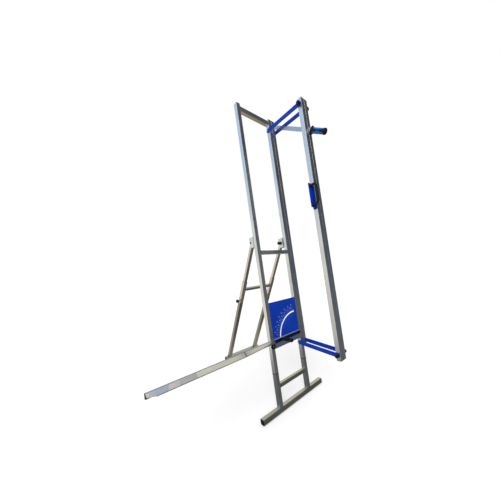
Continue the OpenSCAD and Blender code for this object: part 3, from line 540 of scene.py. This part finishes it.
# %% Clamp grip
grip = turned("rail_clamp_grip", [
    (0.0, 0.0098), (0.004, 0.0102), (0.009, 0.0126), (0.016, 0.0128), (0.034, 0.0116), (0.082, 0.0120),
    (0.088, 0.0136), (0.098, 0.0139), (0.1025, 0.0122), (0.105, 0.0086)], 36)
pick_faces(grip, lambda middle, normal: 0.035 < middle.z < 0.081 and int(round(math.degrees(
    math.atan2(normal.y, normal.x)) / 10 - 0.5)) % 3 == 0)
bpy.ops.mesh.inset(thickness=0.0006, use_individual=True)
bpy.ops.mesh.extrude_region_shrink_fatten(TRANSFORM_OT_shrink_fatten={"value": -0.0009})
close_up(grip)
soften(grip, 0.0005)
pivot = joints["rail_clamp_turn"]
to_front = Matrix.Rotation(math.pi / 2, 4, "X")
spot = Vector(pivot["pos_m"]) - 0.0005 * Vector(pivot["axis"])
settle(grip, Matrix.Translation(spot) @ lean_turn @ to_front, "rail_clamp", black_plastic, "black_plastic",
       "clamp_grip")

# %% [markdown]
# ## Screws, pivot bolt and rubber stop
#
# Button-head screws hold the handle's bracket, the plate and the front tubes. A turned head gets a socket by
# insetting its top and pushing the middle down. The rail's pivot is a bolt with a nut behind
# the plate. The rail rests on a round rubber stop with a dished face and a screw in its middle.

# %% Screws
def button_screw(name, head_r, head_t, shank):
    screw = turned(name, [(-shank, 0.0024), (-0.0001, 0.0024), (0.0, head_r), (0.45 * head_t, head_r),
                          (0.85 * head_t, 0.78 * head_r), (head_t, 0.56 * head_r)], 24)
    pick_faces(screw, lambda middle, normal: normal.z > 0.9 and middle.z > 0.95 * head_t)
    bpy.ops.mesh.inset(thickness=0.12 * head_r)
    bpy.ops.mesh.extrude_region_move(TRANSFORM_OT_translate={"value": (0, 0, -0.5 * head_t)})
    close_up(screw)
    soften(screw, 0.0002)
    return screw


to_left = Matrix.Rotation(-math.pi / 2, 4, "Y")
for number, s in enumerate((1.640, 1.745)):
    settle(button_screw("beam_screw_%d" % number, 0.0045, 0.002, 0.004),
           leaned @ Matrix.Translation((0.336, -0.3528, s)) @ to_front, "front_beam", zinc_steel, "steel_bright",
           "guide_screws")
for number, (depth, s) in enumerate(((-0.3353, 1.3565), (-0.3265, 1.516))):
    settle(button_screw("bracket_screw_%d" % number, 0.0045, 0.002, 0.008),
           leaned @ Matrix.Translation((0.284, depth, s)) @ to_left, "front_beam", black_steel, "steel_bright",
           "guide_screws")
for number, (x, s) in enumerate(((0.040, 0.486), (0.278, 0.486), (0.040, 0.741), (0.278, 0.741))):
    settle(button_screw("plate_screw_%d" % number, 0.0045, 0.001, 0.0075),
           leaned @ Matrix.Translation((x, 0.0, s)) @ to_front, "frame", zinc_steel, "steel_bright", "plate_screws")

# %% Rubber stop and its screw
stop = turned("rail_stop", [(0.0, 0.0185), (0.0010, 0.0189), (0.0055, 0.0189), (0.0072, 0.0178), (0.0080, 0.0160)], 40)
pick_faces(stop, lambda middle, normal: normal.z > 0.9 and middle.z > 0.0078)
bpy.ops.mesh.inset(thickness=0.0050)
bpy.ops.mesh.extrude_region_move(TRANSFORM_OT_translate={"value": (0, 0, -0.0010)})
bpy.ops.transform.resize(value=(0.9, 0.9, 1))
close_up(stop)
soften(stop, 0.0004)
stop_spot = leaned @ Matrix.Translation((0.015, 0.0, 0.4575)) @ to_front
settle(stop, stop_spot, "frame", black_rubber, "black_rubber", "rail_bumper")
settle(button_screw("stop_screw", 0.0052, 0.0022, 0.012), stop_spot @ Matrix.Translation((0, 0, 0.0070)), "frame",
       zinc_steel, "steel_bright", "bumper_screw")

# %% Pivot bolt of the rail
bolt = turned("rail_pivot", [(-0.0275, 0.0037), (-0.0270, 0.0040), (-0.0001, 0.0040), (0.0, 0.0064), (0.0042, 0.0064),
                             (0.0050, 0.0057)], 24)
pick_faces(bolt, lambda middle, normal: normal.z > 0.9 and middle.z > 0.0045)
bpy.ops.mesh.inset(thickness=0.0022)
bpy.ops.mesh.extrude_region_move(TRANSFORM_OT_translate={"value": (0, 0, -0.0030)})
close_up(bolt)
soften(bolt, 0.0003)
nut = turned("rail_pivot_nut", [(-0.0225, 0.0058), (-0.0220, 0.0064), (-0.0180, 0.0064), (-0.0175, 0.0058)], 6)
soften(nut, 0.0003)
pivot_x, pivot_s = 0.258, 0.4895
pivot_spot = leaned @ Matrix.Translation((pivot_x, -0.0145, pivot_s)) @ to_front
settle(bolt, pivot_spot, "frame", black_steel, "steel_bright", "rail_pivot_bolt")
settle(nut, pivot_spot, "frame", zinc_steel, "steel_bright", "rail_pivot_bolt")

# %% [markdown]
# ## Pull handle
#
# The user swings the bow by a black D-shaped handle on a blue bracket. A circle at the upper foot is extruded
# forwards as the first leg, spun a quarter turn about the bend's middle, extruded down as the grip, spun again
# and extruded back. The feet flare where they meet the bracket, and the grip swells a little.

# %% Pull handle
half_span, reach, bend, bar = 0.066, 0.046, 0.018, 0.0080
leg = reach - bend
start_clean()
bpy.ops.mesh.primitive_circle_add(vertices=24, radius=0.0120, fill_type="NGON", location=(0, 0, half_span),
                                  rotation=(math.pi / 2, 0, 0))
handle = bpy.context.object
handle.name = "bow_pull_handle"
bpy.ops.object.transform_apply(location=True, rotation=True, scale=True)
edit(handle)
bpy.ops.mesh.select_all(action="SELECT")
for forth, scale in ((0.0035, 1.0), (0.0015, 0.92), (0.0030, bar / (0.0120 * 0.92)), (leg - 0.0080, 1.0)):
    bpy.ops.mesh.extrude_region_move(TRANSFORM_OT_translate={"value": (0, -forth, 0)})
    bpy.ops.transform.resize(value=(scale, 1, scale))
bpy.ops.mesh.spin(steps=8, angle=math.pi / 2, center=(0, -leg, half_span - bend), axis=(-1, 0, 0))
grip_len = 2 * (half_span - bend)
for down, scale in ((0.012, 1.06), (grip_len - 0.024, 1.0), (0.012, 1 / 1.06)):
    bpy.ops.mesh.extrude_region_move(TRANSFORM_OT_translate={"value": (0, 0, -down)})
    bpy.ops.transform.resize(value=(scale, scale, 1))
bpy.ops.mesh.spin(steps=8, angle=math.pi / 2, center=(0, -leg, bend - half_span), axis=(-1, 0, 0))
for back, scale in ((leg - 0.0080, 1.0), (0.0030, 0.0120 * 0.92 / bar), (0.0015, 1 / 0.92), (0.0035, 1.0)):
    bpy.ops.mesh.extrude_region_move(TRANSFORM_OT_translate={"value": (0, back, 0)})
    bpy.ops.transform.resize(value=(scale, 1, scale))
close_up(handle)
soften(handle, 0.0004)
corners = [vertex.co for vertex in handle.data.vertices]
print("handle spans", [round(min(c[i] for c in corners), 4) for i in range(3)],
      [round(max(c[i] for c in corners), 4) for i in range(3)])
settle(handle, leaned @ Matrix.Translation((0.266, -0.3373, 1.4445)), "front_beam", black_plastic, "black_plastic",
       "pull_handle")

# %% [markdown]
# ## Saw handle
#
# The saw has a blue handle with a soft black covering. It makes the guard, the butt and a waisted band along each
# flank, and leaves blue windows above and below the band. The core is lofted from the butt to the guard. The
# covering is a copy of it without the windows' faces, thickened outwards by a Solidify modifier.

# %% Core of the saw's handle
saw_place = leaned @ Matrix.Translation((slot_x, -0.3528, 1.909)) @ Matrix.Rotation(saw_tilt, 4, "X")
guard_front = -(0.028 * math.sin(saw_tilt) + 0.004) / math.cos(saw_tilt)
butt = guard_front - 0.013 - 0.128
core = loft("saw_handle_core", [
    (0.0005, 0.0060, 0.0110), (0.003, 0.0096, 0.0158), (0.008, 0.0116, 0.0184), (0.018, 0.0120, 0.0189),
    (0.030, 0.0116, 0.0187), (0.042, 0.0112, 0.0184), (0.054, 0.0116, 0.0184), (0.066, 0.0122, 0.0186),
    (0.078, 0.0122, 0.0187), (0.090, 0.0118, 0.0186), (0.102, 0.0112, 0.0186), (0.112, 0.0110, 0.0188),
    (0.120, 0.0114, 0.0200), (0.126, 0.0118, 0.0230), (0.130, 0.0120, 0.0256), (0.136, 0.0120, 0.0262),
    (0.1405, 0.0104, 0.0236)], 32)
cover = copy_of(core, "saw_handle_cover")
pick_faces(cover, lambda middle, normal: 0.020 < middle.z < 0.118
           and abs(middle.y) > 0.0046 + 0.0050 * ((middle.z - 0.068) / 0.046) ** 2)
bpy.ops.mesh.delete(type="FACE")
bpy.ops.object.mode_set(mode="OBJECT")
skin = cover.modifiers.new("skin", "SOLIDIFY")
skin.thickness = 0.0016
skin.offset = 1.0
bpy.ops.object.modifier_apply(modifier="skin")
soften(cover, 0.0005, 2, 50)
soften(core, 0.0004)
along_blade = saw_place @ Matrix.Translation((0, butt, 0)) @ Matrix.Rotation(-math.pi / 2, 4, "X")
settle(core, along_blade, "saw", blue_plastic, "blue_plastic", "saw_handle")
settle(cover, along_blade, "saw", black_rubber, "black_rubber", "saw_grips")

# %% [markdown]
# ## Dark collars, pale top strip and label
#
# Each seam where the stand's legs plug into the uprights gets a black collar round the leg's top: painted shade for
# the seam's dark gap. The rail bar is near black, painted shade on its front, and its upper edge, on which boards
# slide, gets a pale lilac strip, a painted reflection. The far end of the ledge has a label in three plain panels,
# without print. All are thin boxes: the collar's box gets its hole by insetting its top and its underside and
# bridging them. The label's panels slant like the dark strip in the ledge, so their front faces are moved sideways,
# and the far one is then bisected along the ledge's cut corner.

# %% Black collars at the seams, painted shade
# Each black collar stands for the seam's dark gap: painted shade
for name, x in (("left", 0.015), ("right", 0.303)):
    start_clean()
    bpy.ops.mesh.primitive_cube_add(size=1.0, location=(0, 0, 0))
    collar = bpy.context.object
    collar.name = "seam_shade_collar_" + name
    edit(collar)
    bpy.ops.mesh.select_all(action="SELECT")
    bpy.ops.transform.resize(value=(0.0306, 0.0356, 0.0030))
    pick_faces(collar, lambda middle, normal: abs(normal.z) > 0.9)
    bpy.ops.mesh.inset(thickness=0.0010, use_individual=True)
    bpy.ops.mesh.bridge_edge_loops()
    close_up(collar)
    soften(collar, 0.0002)
    settle(collar, leaned @ Matrix.Translation((x, half_depth, 0.2675)), "stand", black_plastic, "black_plastic")


# %% Pale rail strip, a painted reflection, and plain label
def thin_strip(name, corner, size, material, slant=0.0, cut=None):
    start_clean()
    bpy.ops.mesh.primitive_cube_add(size=1.0, location=(0, 0, 0))
    strip = bpy.context.object
    strip.name = name
    edit(strip)
    bpy.ops.mesh.select_all(action="SELECT")
    bpy.ops.transform.resize(value=size)
    bpy.ops.transform.translate(value=[side / 2 for side in size])
    pick_faces(strip, lambda middle, normal: normal.y < -0.9)
    bpy.ops.transform.translate(value=(-slant, 0, 0))
    bpy.ops.mesh.select_all(action="SELECT")
    if cut:
        bpy.ops.mesh.bisect(plane_co=cut, plane_no=(-0.66, -0.75, 0), use_fill=True, clear_outer=True)
    bpy.ops.object.mode_set(mode="OBJECT")
    soften(strip, 0.0001)
    settle(strip, leaned @ Matrix.Translation(corner), "rail", material, "ruler_tape")


far_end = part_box("outer_ledge")[0].x - lean_origin.x
# Pale strip along the rail bar's top edge: a painted reflection
thin_strip("rail_reflection_strip", (0.0255, -0.0146, 0.4988), (0.2570, 0.0125, 0.0037), lilac_painted_reflection)
for name, start, end, depth, dark, light in (("far", far_end + 0.009, -0.633, 0.066, "#A9B4C8", "#B7C2D3"),
                                             ("middle", -0.632, -0.587, 0.052, "#CCC2C0", "#D8CECB"),
                                             ("near", -0.586, -0.508, 0.066, "#ADADAB", "#BBBBB7")):
    paper = moulded("Plain coated paper, %s panel" % name, dark, light, 0.55, 0.7, 0.05)
    thin_strip("plain_label_" + name, (start + depth / 10, -0.0500 - depth / 2, 0.5020), (end - start, depth, 0.0003),
               paper, depth / 5, (-0.0132, 0.028, 0.0) if name == "far" else None)

# %% [markdown]
# ## Dial
#
# White lines and numbers run round the arc slot, so the user can set the rail's angle. A line is a thin bar,
# built for each mark and turned into place round the pivot. The numbers are text turned into a mesh: the tens on an
# inner ring and the fives between them on an outer ring, with their tops outwards. The outer marks are joined into
# one piece in white ink and the inner ones into another in pale blue ink, 0.2 mm proud of the plate.

# %% Lines of the dial
dial_spot = leaned @ Matrix.Translation((pivot_x, 0.0, pivot_s)) @ to_front
ink = 0.0002


def dial_line(angle, inner, outer, width):
    start_clean()
    bpy.ops.mesh.primitive_cube_add(size=1.0, location=(0, 0, 0))
    bar = bpy.context.object
    edit(bar)
    bpy.ops.mesh.select_all(action="SELECT")
    bpy.ops.transform.resize(value=(outer - inner, width, ink))
    bpy.ops.transform.translate(value=((outer + inner) / 2, 0, ink / 2))
    bpy.ops.object.mode_set(mode="OBJECT")
    bar.matrix_world = Matrix.Rotation(math.pi - math.radians(angle), 4, "Z")
    bpy.ops.object.transform_apply(location=True, rotation=True, scale=True)
    return bar


outer_marks, inner_marks = [], []
for step in range(1, 37):
    reach = 0.205 if step % 4 == 2 else 0.187 if step % 4 == 0 else 0.180
    outer_marks.append(dial_line(2.5 * step, 0.172, reach, 0.0010))
    inner_marks.append(dial_line(2.5 * step, 0.148 if step % 2 == 0 else 0.152, 0.156, 0.0009))
print("dial lines:", len(outer_marks) + len(inner_marks))


# %% Numbers of the dial
def dial_number(angle, radius, size):
    start_clean()
    bpy.ops.object.text_add(location=(0, 0, 0))
    number = bpy.context.object
    number.data.body = str(angle)
    number.data.align_x, number.data.align_y = "CENTER", "CENTER"
    number.data.size = size
    number.data.extrude = ink / 2
    bpy.ops.object.convert(target="MESH")
    number = bpy.context.object
    a = math.radians(angle)
    middle = Matrix.Translation((-radius * math.cos(a), radius * math.sin(a), ink / 2))
    number.matrix_world = middle @ Matrix.Rotation(math.pi / 2 - a, 4, "Z")
    bpy.ops.object.transform_apply(location=True, rotation=True, scale=True)
    return number


def joined(name, marks, material):
    start_clean()
    for mark in marks:
        mark.select_set(True)
    bpy.context.view_layer.objects.active = marks[0]
    bpy.ops.object.join()
    whole = bpy.context.object
    whole.name = name
    settle(whole, dial_spot, "frame", material, "ruler_tape")


for angle in range(5, 90, 5):
    tens = angle % 10 == 0
    outer_marks.append(dial_number(angle, 0.196 if tens else 0.216, 0.0125))
    if tens:
        inner_marks.append(dial_number(angle, 0.138, 0.0095))
joined("dial_marks", outer_marks, white_ink)
joined("dial_inner_marks", inner_marks, pale_ink)

# %% [markdown]
# ## Stage and light
#
# The photograph has a plain white ground. The floor is white and keeps the shadow; a little light of its own,
# seen only by the camera and in reflections, lifts it to the white of the world behind it. The main light is a
# soft sun from the left, so it is even over the whole floor. Satin metal looks like what it reflects. In the
# photograph its left faces reflect a pale sky, and the faces towards the user something dark. A dome and a ground
# cloth that only reflections see give the metal the same: pale blue above, cream below, dark towards the user.

# %% Floor
start_clean()
bpy.ops.mesh.primitive_plane_add(size=160.0, location=(0, 0, 0))
floor = bpy.context.object
floor.name = "studio_floor"
floor_white, tree, shader, place = new_material("Matt white studio floor")
shader["Base Color"].default_value = lin("#E7E7E7")
shader["Roughness"].default_value = 0.9
shader["Specular IOR Level"].default_value = 0.0
shader["Emission Color"].default_value = (1, 1, 1, 1)


def seen_directly(tree):
    kinds = ("Camera", "Glossy", "Transmission")
    rays = [add(tree, "ShaderNodeLightPath", output="Is %s Ray" % kind) for kind in kinds]
    either = add(tree, "ShaderNodeMath", {0: rays[0], 1: rays[1]}, operation="MAXIMUM")
    return add(tree, "ShaderNodeMath", {0: either, 1: rays[2]}, operation="MAXIMUM")


add(tree, "ShaderNodeMath", {0: seen_directly(tree), 1: 0.40}, to=shader["Emission Strength"], operation="MULTIPLY")
floor.data.materials.append(floor_white)
print(floor.name)

# %% World
world = bpy.data.worlds.new("studio_world")
bpy.context.scene.world = world
world.use_nodes = True
tree = world.node_tree
sky = tree.nodes["Background"].inputs
sky["Color"].default_value = (1, 1, 1, 1)
add(tree, "ShaderNodeMapRange", {"Value": seen_directly(tree), "To Min": 0.55, "To Max": 1.0}, to=sky["Strength"])
print(world.name)

# %% Soft sun
start_clean()
bpy.ops.object.light_add(type="SUN", location=(-2.0, -1.2, 4.0))
sun = bpy.context.object
sun.name = "soft_sun"
sun.rotation_euler = Vector((0.52, 0.34, -0.78)).to_track_quat("-Z", "Y").to_euler()
sun.data.energy = 1.1
sun.data.angle = math.radians(35)
print(sun.name)

# %% Dome and ground for the reflections
def only_in_reflections(shape):
    shape.visible_camera = False
    shape.visible_diffuse = False
    shape.visible_shadow = False
    shape.visible_transmission = False
    print(shape.name)


def lit_cloth(shape, name):
    material, tree, shader, place = new_material(name)
    shader["Base Color"].default_value = (0, 0, 0, 1)
    shader["Specular IOR Level"].default_value = 0.0
    shader["Emission Strength"].default_value = 1.0
    shape.data.materials.append(material)
    return tree, shader, place


start_clean()
bpy.ops.mesh.primitive_uv_sphere_add(segments=48, ring_count=24, radius=9.0, location=(0.2, 0.0, 1.0))
dome = bpy.context.object
dome.name = "reflection_dome"
tree, shader, place = lit_cloth(dome, "Painted cloth dome")
outward = add(tree, "ShaderNodeVectorMath", {0: place}, operation="NORMALIZE")
sides = []
for way, low, high in (((-0.35, 0.50, 0.79), 0.55, 0.85), ((0.25, -0.97, 0.0), -0.10, 0.20)):
    amount = add(tree, "ShaderNodeVectorMath", {0: outward, 1: way}, output="Value", operation="DOT_PRODUCT")
    sides.append(add(tree, "ShaderNodeMapRange", {"Value": amount, "From Min": low, "From Max": high}))
tone = add(tree, "ShaderNodeMix", {"Factor": sides[0], "A": lin("#FFFBEE"), "B": lin("#CBE3FF")}, data_type="RGBA")
height = add(tree, "ShaderNodeSeparateXYZ", {"Vector": outward}, output="Z")
shade = add(tree, "ShaderNodeValToRGB", {"Fac": height}, stops=[(0.15, "#616770"), (0.65, "#414447")])
add(tree, "ShaderNodeMix", {"Factor": sides[1], "A": tone, "B": shade}, to=shader["Emission Color"], data_type="RGBA")
only_in_reflections(dome)

start_clean()
bpy.ops.mesh.primitive_plane_add(size=16.0, location=(0, 0, 0.0005))
ground = bpy.context.object
ground.name = "reflection_ground"
tree, shader, place = lit_cloth(ground, "Painted cloth ground")
back_left = add(tree, "ShaderNodeVectorMath", {0: place, 1: (-0.55, 0.83, 0.0)}, output="Value",
                operation="DOT_PRODUCT")
pale = add(tree, "ShaderNodeMapRange", {"Value": back_left, "From Min": -0.5, "From Max": 0.2})
sideways = add(tree, "ShaderNodeSeparateXYZ", {"Vector": place})
tan = add(tree, "ShaderNodeMapRange", {"Value": sideways, "From Min": 0.5, "From Max": 0.9})
# Grey round the foot: a painted shadow, which the low metal parts reflect
from_foot = add(tree, "ShaderNodeVectorMath", {0: place, 1: (0.05, -0.05, 0.0)}, output="Value", operation="DISTANCE")
clear_of_foot_shadow = add(tree, "ShaderNodeMapRange", {"Value": from_foot, "From Min": 0.30, "From Max": 0.65})
pale = add(tree, "ShaderNodeMath", {0: pale, 1: clear_of_foot_shadow}, operation="MULTIPLY")
near = add(tree, "ShaderNodeMix", {"Factor": pale, "A": lin("#6A6A6A"), "B": lin("#FCF5E6")}, data_type="RGBA")
far = add(tree, "ShaderNodeMix", {"Factor": pale, "A": lin("#6A6A6A"), "B": lin("#A08C66")}, data_type="RGBA")
add(tree, "ShaderNodeMix", {"Factor": tan, "A": near, "B": far}, to=shader["Emission Color"], data_type="RGBA")
only_in_reflections(ground)
bpy.context.scene.view_settings.view_transform = "Standard"
